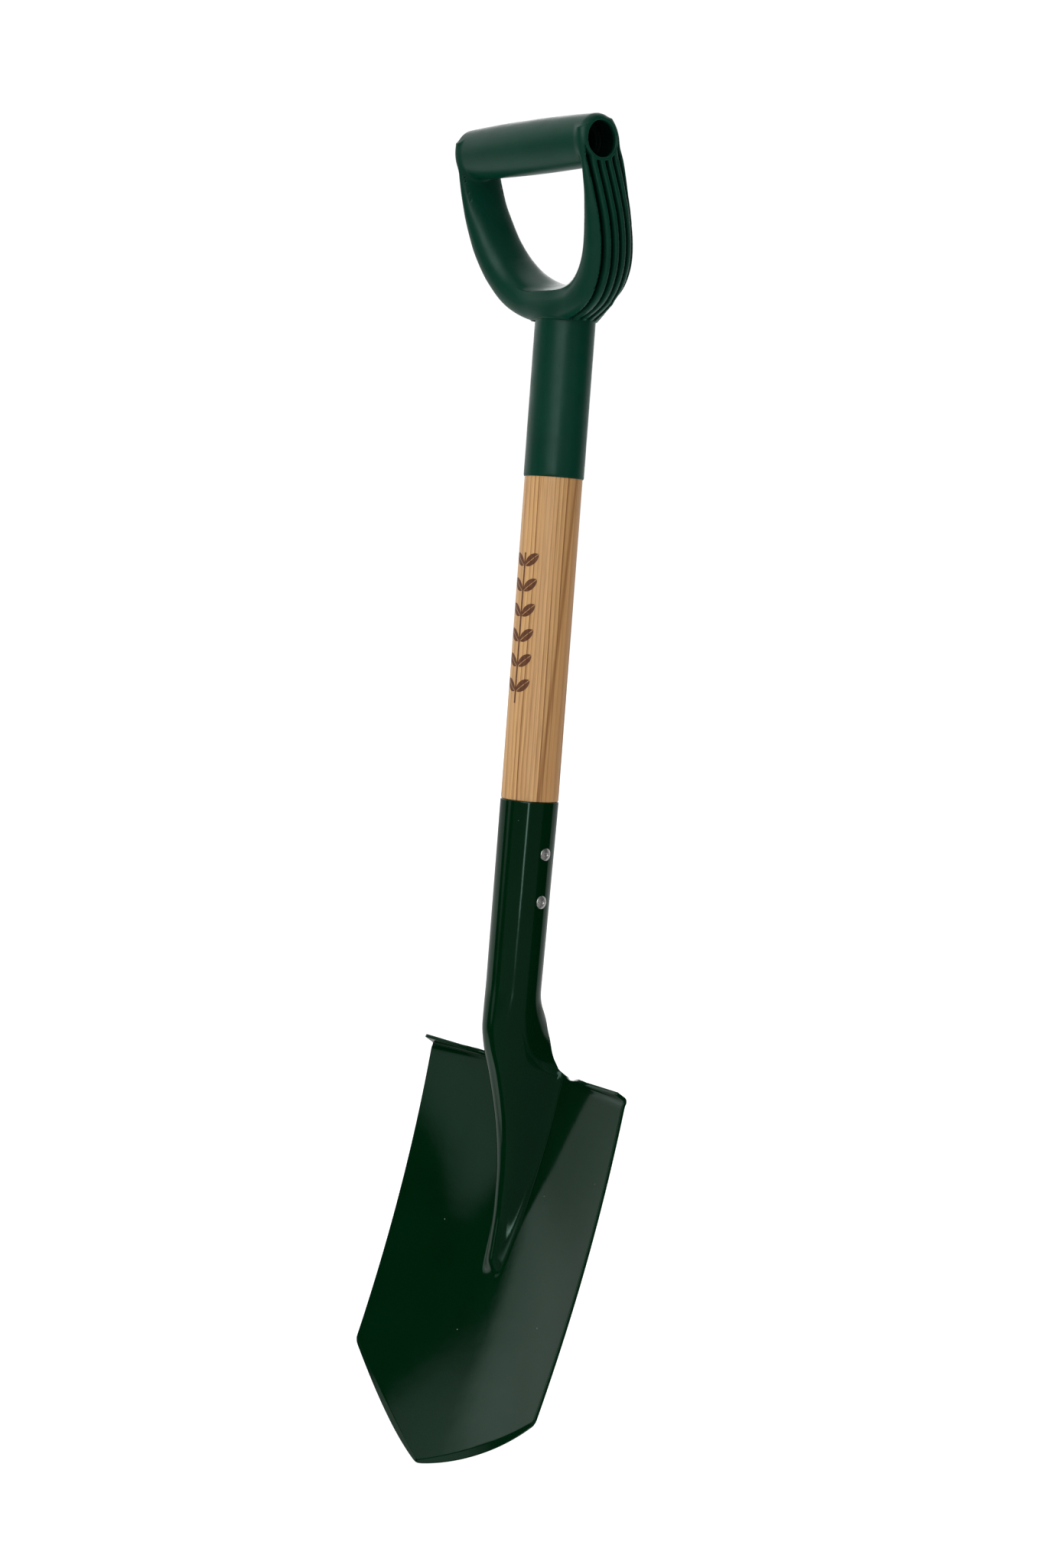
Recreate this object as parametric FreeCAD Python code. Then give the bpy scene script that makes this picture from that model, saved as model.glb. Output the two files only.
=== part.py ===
"""Garden digging spade with a D grip: millimetres, +Z up along the shaft, grip at the top.

The origin is the middle of the grip's crossbar, on the axis of the hole that runs through it.
+X is along the crossbar and -Y is the front, the side that the hollow of the blade faces.
"""
import FreeCAD, Part
import math
import os
from bisect import bisect_right

from FreeCAD import Vector

# ---- driving dimensions -----------------------------------------------------------------------
SHAFT_R = 18.0            # ash shaft, 36 mm across
SHAFT_Y = 34.0            # shaft axis behind the crossbar, because the grip leans forward
RIM_Z = -396.0            # top rim of the steel socket
SLEEVE_Z = -196.0         # lower rim of the grip's sleeve

CROSSBAR_HALF = 61.8      # half the length of the crossbar
CROSSBAR_R_END = 15.4
CROSSBAR_R_MID = 16.4
CROSSBAR_ROUND = 2.8      # rounding of the crossbar's ends
BORE_R = 7.5              # hanging hole through the crossbar
MOUTH_R = 11.2            # its wider mouths
MOUTH_DEPTH = 14.0

LEAN_DROP = 96.0          # the grip leans forward by SHAFT_Y over this height
SLEEVE_R = 18.75
SLEEVE_TOP = -92.0
SLEEVE_LIP = 2.5          # rounding of the sleeve's lower rim
TENON_R = 15.6            # shaft end inside the sleeve
TENON_TOP = -102.0

SLOT_COUNT = 5            # slots in the outer face of each arm
SLOT_PITCH = 5.8
SLOT_WIDTH = 2.7
SLOT_DEPTH = 9.5
SLOT_WALL = 2.6           # wall left between a slot and the hand opening
SLOT_RING = 2.0           # plain ring left between the slots and the bore's mouth
SLOT_END = 17.0           # the slots curl under the arms to here, out from the middle

SHEET = 2.3               # pressed steel sheet
SOCKET_R_TOP = 18.3       # socket outside, at the rim
SOCKET_R_LOW = 17.5       # socket outside, at the end of the closed tube
SOCKET_LEAN = 0.0125      # forward lean of the socket axis, mm per mm
TUBE_LENGTH = 122.0       # closed part of the socket
SEAM_GAP = 0.8            # butt seam down the back of the socket
SHAFT_FIT = 0.15          # clearance of the shaft's taper in the socket
SHAFT_DEPTH = 114.0       # shaft end below the rim

TREAD_H = 172.9           # treads below the rim
CORNER_H = 366.4          # lower corners of the blade below the rim
TIP_H = 416.9             # tip of the blade below the rim
HALF_WIDTH = 95.5         # blade half width at the treads
HALF_WIDTH_LOW = 91.25    # blade half width at the lower corners
TIP_BULGE = 6.4           # outward bow of each tip edge
TREAD_INNER = 36.0        # where the treads start, out from the middle
TREAD_DEPTH = 8.4         # how far the treads stand out from the blade
TREAD_SINK = 0.12         # the fold starts this far inside the sheet
TREAD_TILT = math.radians(15.0)   # their rise towards the front edge
TREAD_FADE = ((37.0, 0.2), (42.0, 0.5), (49.0, 0.85), (56.0, 1.0), (69.0, 1.0), (82.0, 1.0), (95.3, 1.0))
CORNER_ROUND = 8.0        # rounding of the lower corners
TIP_ROUND = 4.0

RIVET_R = 2.5
RIVET_HEAD_R = 4.4
RIVET_HEAD_HEIGHT = 2.1
RIVET_DEPTHS = {"rivet_upper": 32.4, "rivet_lower": 62.4}   # below the rim

SCREW_Z = -150.0
SCREW_R = 2.0
SCREW_HEAD_R = 4.0
SCREW_HEAD_DEPTH = 2.6
SCREW_LENGTH = 24.0
SCREW_FACE_Y = SHAFT_Y + SLEEVE_R - 0.3   # the head's face, just below the sleeve's surface

# ---- small helpers ----------------------------------------------------------------------------


def clip(value, low, high):
    return max(low, min(high, value))


def smooth(value, low, high):
    """0 below low, 1 above high, with a smooth change between."""
    t = clip((value - low) / (high - low), 0.0, 1.0)
    return t * t * t * (t * (6.0 * t - 15.0) + 10.0)


def along(value, places, sizes):
    """Size at a place, on straight lines between the places given."""
    if value <= places[0]:
        return sizes[0]
    if value >= places[-1]:
        return sizes[-1]
    i = bisect_right(places, value) - 1
    t = (value - places[i]) / (places[i + 1] - places[i])
    return sizes[i] + t * (sizes[i + 1] - sizes[i])


def rod(radius, start, direction, length):
    return Part.makeCylinder(radius, length, Vector(*start), Vector(*direction))


# ---- the pressed sheet: socket, neck, ridge and dished blade -------------------------------------
# h is the distance below the socket's rim. x is across and y is behind the shaft's axis.

EDGE_LINE = (11.4, 0.1536, 0.00052)   # the side edges: where they start, their slope and their curl
DISH_DEPTHS = (13.6, 14.65, 4.0)      # depth of the hollow at the treads, half-way down and at the tip
DISH_POWERS = (1.08, 2.0)             # its section: near 1 a shallow V, 2 a parabola
DISH_CHANGE = (175.0, 300.0)          # where the V turns into the parabola
RIDGE_PLACES = (120.0, 173.0, 205.0, 240.0, 290.0, 310.0)
RIDGE_HALF_WIDTHS = (30.0, 28.0, 23.5, 17.0, 10.5, 8.0)
RIDGE_POWER = 1.35        # more makes the ridge's top flatter and its flanks steeper
RIDGE_END = (291.0, 307.0)
FRONT_PLACES = (0.0, 120.0, 132.0, 145.0, 158.0, 173.0, 189.0, 205.0, 220.0, 237.0, 265.0, 290.0, 310.0)
FRONT_LINE = (-18.3, -19.2, -20.0, -20.3, -17.7, -12.4, -7.9, -4.3, -2.2, -1.0, -1.6, -4.5, -8.0)
OPENING_PLACES = (120.0, 124.0, 130.0, 140.0, 150.0, 160.0, 166.0, 170.0)
OPENING = (0.0, 0.03, 0.15, 0.38, 0.52, 0.66, 0.86, 1.0)     # 0 a closed tube, 1 the open blade
EDGE_PLACES = (122.0, 126.0, 130.0, 140.0, 150.0, 158.0, 162.0, 165.0, 168.0, 170.0)
EDGE_LENGTHS = (54.6, 52.5, 50.5, 48.5, 48.0, 46.0, 46.5, 58.0, 100.0, 120.0)
SECTION_REACH = 130.0
SHEET_COLUMNS = 24
SHEET_ROWS = ([0.0, 8.0] + [20.0 * i for i in range(1, 6)] + [110.0 + 4.0 * i for i in range(11)]
              + [152.0 + 2.0 * i for i in range(15)] + [182.0 + 4.0 * i for i in range(9)]
              + [220.0 + 6.0 * i for i in range(17)] + [320.0 + 12.0 * i for i in range(10)])


def half_width(h):
    t = clip((h - TREAD_H) / (CORNER_H - TREAD_H), 0.0, 1.0)
    return HALF_WIDTH + (HALF_WIDTH_LOW - HALF_WIDTH) * t


def edge_y(h):
    """The blade's side edges curve forward towards the tip."""
    start, slope, curl = EDGE_LINE
    d = h - TREAD_H
    return start - slope * d - curl * d * d


def dish_depth(h):
    """How far the middle of the blade lies behind its side edges."""
    top, half_way, tip = DISH_DEPTHS
    t = (h - TREAD_H) / (TIP_H - TREAD_H)
    return top * (1 - t) * (1 - 2 * t) + 4 * half_way * t * (1 - t) - tip * t * (1 - 2 * t)


def dish_power(h):
    first, last = DISH_POWERS
    return first + (last - first) * smooth(h, *DISH_CHANGE)


def dish_slope(x, h):
    power = dish_power(h)
    return power * dish_depth(h) * x ** (power - 1) / half_width(h) ** power


def socket_radius(h):
    return SOCKET_R_TOP + (SOCKET_R_LOW - SOCKET_R_TOP) * h / TUBE_LENGTH


def socket_half_turn(h):
    return math.pi * socket_radius(h) - SEAM_GAP / 2


def blade_slopes(h):
    """Slope angle of the open blade's front face, and the distance along it, from the middle out."""
    base = along(h, RIDGE_PLACES, RIDGE_HALF_WIDTHS)
    height = (edge_y(h) + dish_depth(h) - along(h, FRONT_PLACES, FRONT_LINE)) * (1 - smooth(h, *RIDGE_END))
    runs, angles = [0.0], []
    x, step = 0.0, 0.25
    while runs[-1] < SECTION_REACH:
        t = min((x + step / 2) / base, 1.0)
        flank = 0.5 * math.pi * RIDGE_POWER * t ** (RIDGE_POWER - 1) * math.sin(math.pi * t ** RIDGE_POWER)
        slope = height / base * flank - dish_slope(x + step / 2, h)
        angles.append(math.atan(slope))
        runs.append(runs[-1] + step / math.cos(angles[-1]))
        x += step
    return runs, [angles[0]] + angles


def section(h):
    """Front face of the sheet at the height h: the socket's circle unrolling into the blade."""
    runs, slopes = blade_slopes(h)
    opened = along(h, OPENING_PLACES, OPENING)
    x, y, step = 0.0, along(h, FRONT_PLACES, FRONT_LINE), 0.5
    if h > RIDGE_END[0]:
        y += smooth(h, *RIDGE_END) * (edge_y(h) + dish_depth(h) - y)
    xs, ys, distances = [x], [y], [0.0]
    while distances[-1] < SECTION_REACH:
        middle = distances[-1] + step / 2
        rolled = min(middle, socket_half_turn(h)) / socket_radius(h)
        angle = (1 - opened) * rolled + opened * along(middle, runs, slopes)
        x += step * math.cos(angle)
        y += step * math.sin(angle)
        xs.append(x)
        ys.append(y)
        distances.append(distances[-1] + step)
    return distances, xs, ys


def sheet_half_length(h):
    """Half the length of the sheet's section. It is narrow at the neck and full on the blade."""
    if h <= TUBE_LENGTH:
        return socket_half_turn(h)
    return along(h, EDGE_PLACES, EDGE_LENGTHS)


def place_on(line, h, s):
    """Point of a section, at the distance s along it from its middle."""
    distances, xs, ys = line
    x = math.copysign(along(abs(s), distances, xs), s)
    return Vector(x, along(abs(s), distances, ys) + SHAFT_Y, RIM_Z - h)


def sheet_row(h, fractions):
    """Points of the sheet's two faces at the height h, from one edge to the other.

    The back face lies the sheet's thickness behind the front one, which is inside the socket.
    """
    here, higher, lower = section(h), section(h - 1), section(h + 1)
    front, back = [], []
    for u in fractions:
        s = u * sheet_half_length(h)
        across = place_on(here, h, s + 0.5) - place_on(here, h, s - 0.5)
        down = place_on(lower, h + 1, s) - place_on(higher, h - 1, s)
        front.append(place_on(here, h, s))
        back.append(front[-1] + across.cross(down).normalize() * SHEET)
    return front, back


def knots_and_counts(poles, degree):
    spans = poles - degree
    return [float(k) for k in range(spans + 1)], [degree + 1] + [1] * (spans - 1) + [degree + 1]


def surface_over(grid):
    """Smooth face drawn over a grid of points: a clamped B-spline with them as its poles."""
    degrees = [min(3, len(grid) - 1), min(3, len(grid[0]) - 1)]
    rows, row_counts = knots_and_counts(len(grid), degrees[0])
    columns, column_counts = knots_and_counts(len(grid[0]), degrees[1])
    surface = Part.BSplineSurface()
    surface.buildFromPolesMultsKnots(grid, row_counts, column_counts, rows, columns, False, False, *degrees)
    return surface.toShape()


def thick_sheet(front, back):
    """Solid between two grids of points: the two faces and the four strips round their edges."""
    faces = [surface_over(front), surface_over(back)]
    for row in (0, -1):
        faces.append(surface_over([front[row], back[row]]))
    for column in (0, -1):
        faces.append(surface_over([[row[column] for row in front], [row[column] for row in back]]))
    shell = Part.Shell(faces)
    shell.sewShape()
    solid = Part.Solid(shell)
    if solid.Volume < 0:
        solid.reverse()
    return solid


def sheet_solid():
    fractions = [i / SHEET_COLUMNS for i in range(-SHEET_COLUMNS, SHEET_COLUMNS + 1)]
    rows = [sheet_row(h, fractions) for h in SHEET_ROWS]
    return thick_sheet([front for front, _ in rows], [back for _, back in rows])


def planform():
    """Block with the outline of the finished sheet seen from the front, cut right through."""
    neck_x, neck_h, above = 19.3, 162.5, -5.0
    fillet_x, fillet_h = 24.2, 170.2
    chord = Vector(-HALF_WIDTH_LOW, 0, TIP_H - CORNER_H)
    outward = Vector(chord.z, 0, -chord.x).normalize()
    bow = Vector(HALF_WIDTH_LOW, 0, CORNER_H) + chord * 0.5 + outward * TIP_BULGE
    edges = []
    for side in (1, -1):
        def at(x, h):
            return Vector(side * x, 0, RIM_Z - h)
        edges.append(Part.makeLine(at(0, above), at(neck_x, above)))
        edges.append(Part.makeLine(at(neck_x, above), at(neck_x, neck_h)))
        edges.append(Part.Arc(at(neck_x, neck_h), at(fillet_x, fillet_h), at(TREAD_INNER, TREAD_H)).toShape())
        edges.append(Part.makeLine(at(TREAD_INNER, TREAD_H), at(HALF_WIDTH, TREAD_H)))
        edges.append(Part.makeLine(at(HALF_WIDTH, TREAD_H), at(HALF_WIDTH_LOW, CORNER_H)))
        edges.append(Part.Arc(at(HALF_WIDTH_LOW, CORNER_H), at(bow.x, bow.z), at(0, TIP_H)).toShape())
    outline = Part.Wire(Part.__sortEdges__(edges))
    block = Part.Face(outline).extrude(Vector(0, 220, 0))
    block.translate(Vector(0, SHAFT_Y - 110, 0))
    for radius, x, h in ((CORNER_ROUND, HALF_WIDTH_LOW, CORNER_H), (CORNER_ROUND, -HALF_WIDTH_LOW, CORNER_H),
                         (TIP_ROUND, 0, TIP_H)):
        corner = Vector(x, SHAFT_Y, RIM_Z - h)
        near = [e for e in block.Edges if e.CenterOfMass.distanceToPoint(corner) < 1.0]
        block = block.makeFillet(radius, near)
    return block


def tread(side):
    """Edge of the blade folded forward under the foot: its depth fades out towards the neck."""
    slope = math.atan(EDGE_LINE[1])
    overlap, below, above = SHEET - 0.1, 2.5, 1.9
    up = Vector(0, math.sin(slope), math.cos(slope))
    back = Vector(0, math.cos(slope), -math.sin(slope))
    forward = Vector(0, -math.cos(TREAD_TILT), math.sin(TREAD_TILT))
    top = Vector(0, math.sin(TREAD_TILT), math.cos(TREAD_TILT))
    sections = []
    for x, share in TREAD_FADE:
        y = edge_y(TREAD_H) + dish_depth(TREAD_H) * (1 - (x / HALF_WIDTH) ** dish_power(TREAD_H))
        inner = Vector(side * x, y + SHAFT_Y + TREAD_SINK, RIM_Z - TREAD_H)
        lip = inner + forward * TREAD_DEPTH * share
        corners = [inner, lip, lip + top * SHEET, inner + back * overlap + up * above,
                   inner + back * overlap - up * below, inner + back * 0.3 - up * below]
        sections.append(Part.makePolygon(corners + [inner]))
    return Part.makeLoft(sections, True, True)


def rivet_y(depth):
    return SHAFT_Y - SOCKET_LEAN * depth


def rivet_hole(depth):
    return rod(RIVET_R, (-30, rivet_y(depth), RIM_Z - depth), (1, 0, 0), 60)


def make_blade_socket():
    sheet = sheet_solid().common(planform())
    for side in (1, -1):
        sheet = sheet.fuse(tread(side))
    for depth in RIVET_DEPTHS.values():
        sheet = sheet.cut(rivet_hole(depth))
    return sheet


# ---- shaft, rivets and screw ----------------------------------------------------------------------


def make_shaft():
    straight = SLEEVE_Z - RIM_Z
    body = rod(SHAFT_R, (0, SHAFT_Y, RIM_Z), (0, 0, 1), straight)
    tenon = rod(TENON_R, (0, SHAFT_Y, SLEEVE_Z), (0, 0, 1), TENON_TOP - SLEEVE_Z)
    inside = SHEET + SHAFT_FIT
    lean = Vector(0, -SOCKET_LEAN, -1)
    taper = Part.makeCone(socket_radius(0) - inside, socket_radius(SHAFT_DEPTH) - inside, SHAFT_DEPTH,
                          Vector(0, SHAFT_Y, RIM_Z), lean)
    shaft = body.fuse(tenon).fuse(taper)
    for depth in RIVET_DEPTHS.values():
        shaft = shaft.cut(rivet_hole(depth))
    return shaft.cut(screw_hole())


def make_rivet(depth, neighbours):
    """Through rivet with a domed head on both sides, each with a small centre dimple."""
    y, z = rivet_y(depth), RIM_Z - depth
    seat = SHAFT_R - 0.8
    dome_r = (RIVET_HEAD_R ** 2 + RIVET_HEAD_HEIGHT ** 2) / (2 * RIVET_HEAD_HEIGHT)
    rivet = rod(RIVET_R, (-seat, y, z), (1, 0, 0), 2 * seat)
    for side in (1, -1):
        crown = side * (seat + RIVET_HEAD_HEIGHT)
        ball = Part.makeSphere(dome_r, Vector(crown - side * dome_r, y, z))
        head = ball.common(rod(RIVET_HEAD_R, (side * seat, y, z), (side, 0, 0), 10))
        dimple = Part.makeCone(0.3, 1.2, 0.8, Vector(crown - side * 0.6, y, z), Vector(side, 0, 0))
        rivet = rivet.fuse(head.cut(dimple))
    for part in neighbours:
        rivet = rivet.cut(part)
    return rivet


def screw_shape():
    """Countersunk screw that holds the sleeve to the shaft, driven in from the back."""
    start = Vector(0, SCREW_FACE_Y, SCREW_Z)
    head = Part.makeCone(SCREW_HEAD_R, SCREW_R, SCREW_HEAD_DEPTH, start, Vector(0, -1, 0))
    return head.fuse(rod(SCREW_R, start, (0, -1, 0), SCREW_LENGTH))


def screw_hole():
    return screw_shape().fuse(rod(SCREW_HEAD_R, (0, SCREW_FACE_Y, SCREW_Z), (0, 1, 0), 3.0))


def make_screw():
    screw = screw_shape()
    for size in ((3.6, 0.9), (0.9, 3.6)):
        recess = Part.makeBox(size[0], 1.6, size[1])
        recess.translate(Vector(-size[0] / 2, SCREW_FACE_Y - 1.4, SCREW_Z - size[1] / 2))
        screw = screw.cut(recess)
    return screw


# ---- D grip -------------------------------------------------------------------------------------
# Its crossbar, arms and foot are drawn upright, with +Z towards the crossbar, and then leaned.

# middle of the arm across and up, half its thickness and half its depth
ARM_STATIONS = ((57.6, -4.0, 4.0, 14.8), (58.2, -16.0, 4.6, 15.8), (57.5, -30.0, 7.0, 15.9),
                (55.2, -45.0, 10.2, 16.2), (51.0, -60.0, 12.2, 16.8), (44.0, -73.0, 13.6, 17.6),
                (33.0, -84.0, 13.6, 18.3), (17.0, -91.5, 13.0, 18.7), (0.0, -94.0, 12.5, 18.8))

# height, half width, half depth and middle of the swelling under the arms
FOOT_STATIONS = ((-99.5, 19.5, 19.0, 34.0), (-95.0, 29.0, 19.4, 33.3), (-90.0, 38.0, 18.8, 31.8),
                 (-84.0, 41.0, 17.0, 30.0))


def station_frames():
    """Each station with the direction square to the arm, pointing away from the hand opening."""
    frames = []
    for i, (x, z, thick, depth) in enumerate(ARM_STATIONS):
        before = ARM_STATIONS[max(i - 1, 0)]
        mirrored = (-ARM_STATIONS[i - 1][0], ARM_STATIONS[i - 1][1])
        after = ARM_STATIONS[i + 1] if i + 1 < len(ARM_STATIONS) else mirrored
        run = Vector(after[0] - before[0], 0, after[1] - before[1])
        outward = Vector(-run.z, 0, run.x).normalize()
        frames.append((Vector(x, 0, z), outward, thick, depth))
    return frames


def arms():
    frames = station_frames()
    left = [(Vector(-p.x, 0, p.z), Vector(-n.x, 0, n.z), a, b) for p, n, a, b in reversed(frames[:-1])]
    sections = []
    for middle, outward, thick, depth in frames + left:
        ring = Part.Ellipse(middle + Vector(0, depth, 0), middle + outward * thick, middle)
        sections.append(Part.Wire(ring.toShape()))
    return Part.makeLoft(sections, True, False)


def crossbar():
    half, end, mid, edge = CROSSBAR_HALF, CROSSBAR_R_END, CROSSBAR_R_MID, CROSSBAR_ROUND
    barrel = Part.Arc(Vector(-half + edge, 0, end), Vector(0, 0, mid), Vector(half - edge, 0, end)).toShape()
    corner = edge * (1 - math.sqrt(0.5))
    edges = [barrel]
    for side in (1, -1):
        rim = Part.Arc(Vector(side * (half - edge), 0, end), Vector(side * (half - corner), 0, end - corner),
                       Vector(side * half, 0, end - edge))
        edges.append(rim.toShape())
        edges.append(Part.makeLine(Vector(side * half, 0, end - edge), Vector(side * half, 0, 0)))
    edges.append(Part.makeLine(Vector(half, 0, 0), Vector(-half, 0, 0)))
    outline = Part.Wire(Part.__sortEdges__(edges))
    return Part.Face(outline).revolve(Vector(0, 0, 0), Vector(1, 0, 0), 360)


def slot(side, number):
    """One slot of an arm: open to the outside and of an even depth, but never through to the window."""
    offset = number * SLOT_PITCH
    ring_r = MOUTH_R + SLOT_RING
    top = -math.sqrt(ring_r ** 2 - offset ** 2)
    wall = [Vector(side * 56.2, 0, top)]
    for middle, outward, thick, _ in station_frames()[2:8]:
        point = middle + outward * max(SLOT_WALL - thick, thick - SLOT_DEPTH)
        wall.append(Vector(side * max(point.x, SLOT_END), 0, point.z))
    outside = [Vector(side * x, 0, z) for x, z in ((SLOT_END, -118), (90, -118), (90, top))]
    outline = Part.makePolygon(wall + outside + [wall[0]])
    cutter = Part.Face(outline).extrude(Vector(0, SLOT_WIDTH, 0))
    cutter.translate(Vector(0, offset - SLOT_WIDTH / 2, 0))
    return cutter


def foot():
    """Swelling under the arms, where they run into the head of the sleeve."""
    rings = []
    for z, across, depth, y in FOOT_STATIONS:
        ring = Part.Ellipse(Vector(across, y, z), Vector(0, y + depth, z), Vector(0, y, z))
        rings.append(Part.Wire(ring.toShape()))
    return Part.makeLoft(rings, True, False)


def make_d_grip():
    lean = math.degrees(math.atan2(SHAFT_Y, LEAN_DROP))
    body = arms().fuse(crossbar())
    body.rotate(Vector(0, 0, 0), Vector(1, 0, 0), lean)
    body = body.fuse(foot())
    for side in (1, -1):
        for number in range(-(SLOT_COUNT // 2), SLOT_COUNT // 2 + 1):
            cutter = slot(side, number)
            cutter.rotate(Vector(0, 0, 0), Vector(1, 0, 0), lean)
            body = body.cut(cutter)
    sleeve = rod(SLEEVE_R, (0, SHAFT_Y, SLEEVE_Z), (0, 0, 1), SLEEVE_TOP - SLEEVE_Z)
    rim = [e for e in sleeve.Edges if abs(e.BoundBox.ZMax - SLEEVE_Z) < 0.01]
    sleeve = sleeve.makeFillet(SLEEVE_LIP, rim)
    grip = body.fuse(sleeve)
    grip = grip.cut(rod(TENON_R, (0, SHAFT_Y, SLEEVE_Z - 1), (0, 0, 1), TENON_TOP - SLEEVE_Z + 1))
    grip = grip.cut(rod(BORE_R, (-80, 0, 0), (1, 0, 0), 160))
    for side in (1, -1):
        start = side * (CROSSBAR_HALF - MOUTH_DEPTH)
        grip = grip.cut(rod(MOUTH_R, (start, 0, 0), (side, 0, 0), 20))
    return grip.cut(screw_hole())


def main():
    blade_socket = make_blade_socket()
    shaft = make_shaft()
    parts = {"blade_socket": blade_socket, "shaft": shaft, "d_grip": make_d_grip()}
    parts["grip_screw"] = make_screw()
    for name, depth in RIVET_DEPTHS.items():
        parts[name] = make_rivet(depth, (blade_socket, shaft))
    os.makedirs("parts", exist_ok=True)
    for name, shape in parts.items():
        print(name, shape.isValid(), len(shape.Solids), round(shape.Volume))
        shape.Solids[0].exportStep("parts/" + name + ".step")


main()
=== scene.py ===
"""Visual model of a garden spade: painted steel blade and socket, ash shaft and moulded D grip.

Lengths inside the mesh code are millimetres in the frame of the CAD model, whose origin is the middle
of the grip's crossbar. +X is along the crossbar, -Y is the front and +Z is up. A height h in the code of
the steel sheet is measured downwards from the socket's rim. Meshes are turned into metres when their
objects are made.
"""

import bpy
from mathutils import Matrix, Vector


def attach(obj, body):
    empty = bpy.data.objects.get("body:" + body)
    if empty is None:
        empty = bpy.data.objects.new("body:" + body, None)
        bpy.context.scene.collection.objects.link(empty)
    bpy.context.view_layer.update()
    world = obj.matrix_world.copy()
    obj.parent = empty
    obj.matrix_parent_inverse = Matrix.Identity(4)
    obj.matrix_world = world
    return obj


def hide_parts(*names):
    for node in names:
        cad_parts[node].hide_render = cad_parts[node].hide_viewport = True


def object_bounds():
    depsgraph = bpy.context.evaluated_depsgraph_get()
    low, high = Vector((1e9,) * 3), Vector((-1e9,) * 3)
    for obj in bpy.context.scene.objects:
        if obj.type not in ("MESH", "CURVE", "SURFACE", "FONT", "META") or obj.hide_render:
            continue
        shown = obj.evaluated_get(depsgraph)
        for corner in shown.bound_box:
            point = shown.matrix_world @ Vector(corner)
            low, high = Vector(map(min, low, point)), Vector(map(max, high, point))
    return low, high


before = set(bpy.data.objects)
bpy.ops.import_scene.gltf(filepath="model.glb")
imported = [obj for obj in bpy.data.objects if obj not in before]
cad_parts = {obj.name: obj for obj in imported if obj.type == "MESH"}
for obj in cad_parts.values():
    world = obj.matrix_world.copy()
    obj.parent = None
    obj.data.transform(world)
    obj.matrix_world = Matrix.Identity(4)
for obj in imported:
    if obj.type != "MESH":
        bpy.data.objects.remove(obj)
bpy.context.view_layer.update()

import math

import bpy
import numpy as np
from mathutils import Matrix, Vector

SHAFT_Y, SHAFT_R = 34.0, 18.0              # the shaft stands behind the crossbar
RIM_Z = -396.0                             # the socket's rim
SLEEVE_Z, SLEEVE_TOP, SLEEVE_R = -196.0, -92.0, 18.75
TENON_R, TENON_TOP = 15.6, -102.0
SOCKET_R_TOP, SOCKET_R_LOW, TUBE_LENGTH = 18.3, 17.5, 122.0
SOCKET_LEAN = 0.0125                       # forward lean of the socket's axis, mm per mm
SEAM_GAP = 0.8
SHEET = 2.3
ROUND = 0.5                                # rounding of the sheet's edges
TREAD_H, CORNER_H, TIP_H = 172.9, 366.4, 416.9
HALF_WIDTH, HALF_WIDTH_LOW = 95.5, 91.25   # of the blade, at the treads and at its lower corners
UP, RIGHT, BACK = (0.0, 0.0, 1.0), (1.0, 0.0, 0.0), (0.0, 1.0, 0.0)


# ---- shared mesh helpers ---------------------------------

def smooth(value, low, high):
    """A soft step from 0 to 1 between low and high."""
    t = np.clip((value - low) / (high - low), 0.0, 1.0)
    return t * t * t * (t * (6.0 * t - 15.0) + 10.0)


def unit(vectors):
    return vectors / np.maximum(np.linalg.norm(vectors, axis=-1, keepdims=True), 1e-12)


def add_piece(name, vertices, faces, material, replaced=()):
    """A new object of the spade, from millimetres, with the material and the CAD nodes it stands for."""
    mesh = bpy.data.meshes.new(name)
    mesh.from_pydata((np.asarray(vertices) * 0.001).tolist(), [], faces)
    mesh.validate()
    mesh.polygons.foreach_set("use_smooth", [True] * len(mesh.polygons))
    mesh.update()
    piece = bpy.data.objects.new(name, mesh)
    bpy.context.scene.collection.objects.link(piece)
    mesh.materials.append(material)
    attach(piece, "root")
    if replaced:
        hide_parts(*replaced)
    return piece


def vertex_normals(vertices, faces):
    """Normals weighted by area, for an array of four-cornered faces."""
    a, b, c, d = (vertices[faces[:, i]] for i in range(4))
    across = np.cross(c - a, d - b)
    normals = np.zeros_like(vertices)
    for i in range(4):
        np.add.at(normals, faces[:, i], across)
    return unit(normals)


def turned(profile, turns, centre, axis, start):
    """Vertices and faces of a profile of (distance along the axis, radius) pairs turned about an axis.

    A radius of zero at either end closes the shape on the axis.
    """
    centre, axis, start = (np.asarray(v, float) for v in (centre, axis, start))
    side = np.cross(axis, start)
    angles = np.arange(turns) * 2 * math.pi / turns
    ring = np.cos(angles)[:, None] * start + np.sin(angles)[:, None] * side
    vertices, rings = [], []
    for place, radius in profile:
        if radius == 0:
            rings.append([len(vertices)] * turns)
            vertices.append(centre + axis * place)
        else:
            rings.append(list(range(len(vertices), len(vertices) + turns)))
            vertices.extend(centre + axis * place + ring * radius)
    faces = []
    for low, high in zip(rings, rings[1:]):
        for i in range(turns):
            j = (i + 1) % turns
            corners = [low[i], low[j], high[j], high[i]]
            faces.append([c for n, c in enumerate(corners) if c not in corners[:n]])
    return vertices, faces


# ---- pressed sheet: socket, neck, blade ------------------

STEP = 0.5
HEIGHTS = np.arange(-4.0, 420.0 + STEP, STEP)
LENGTHS = np.arange(0.0, 130.0, STEP)

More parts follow.
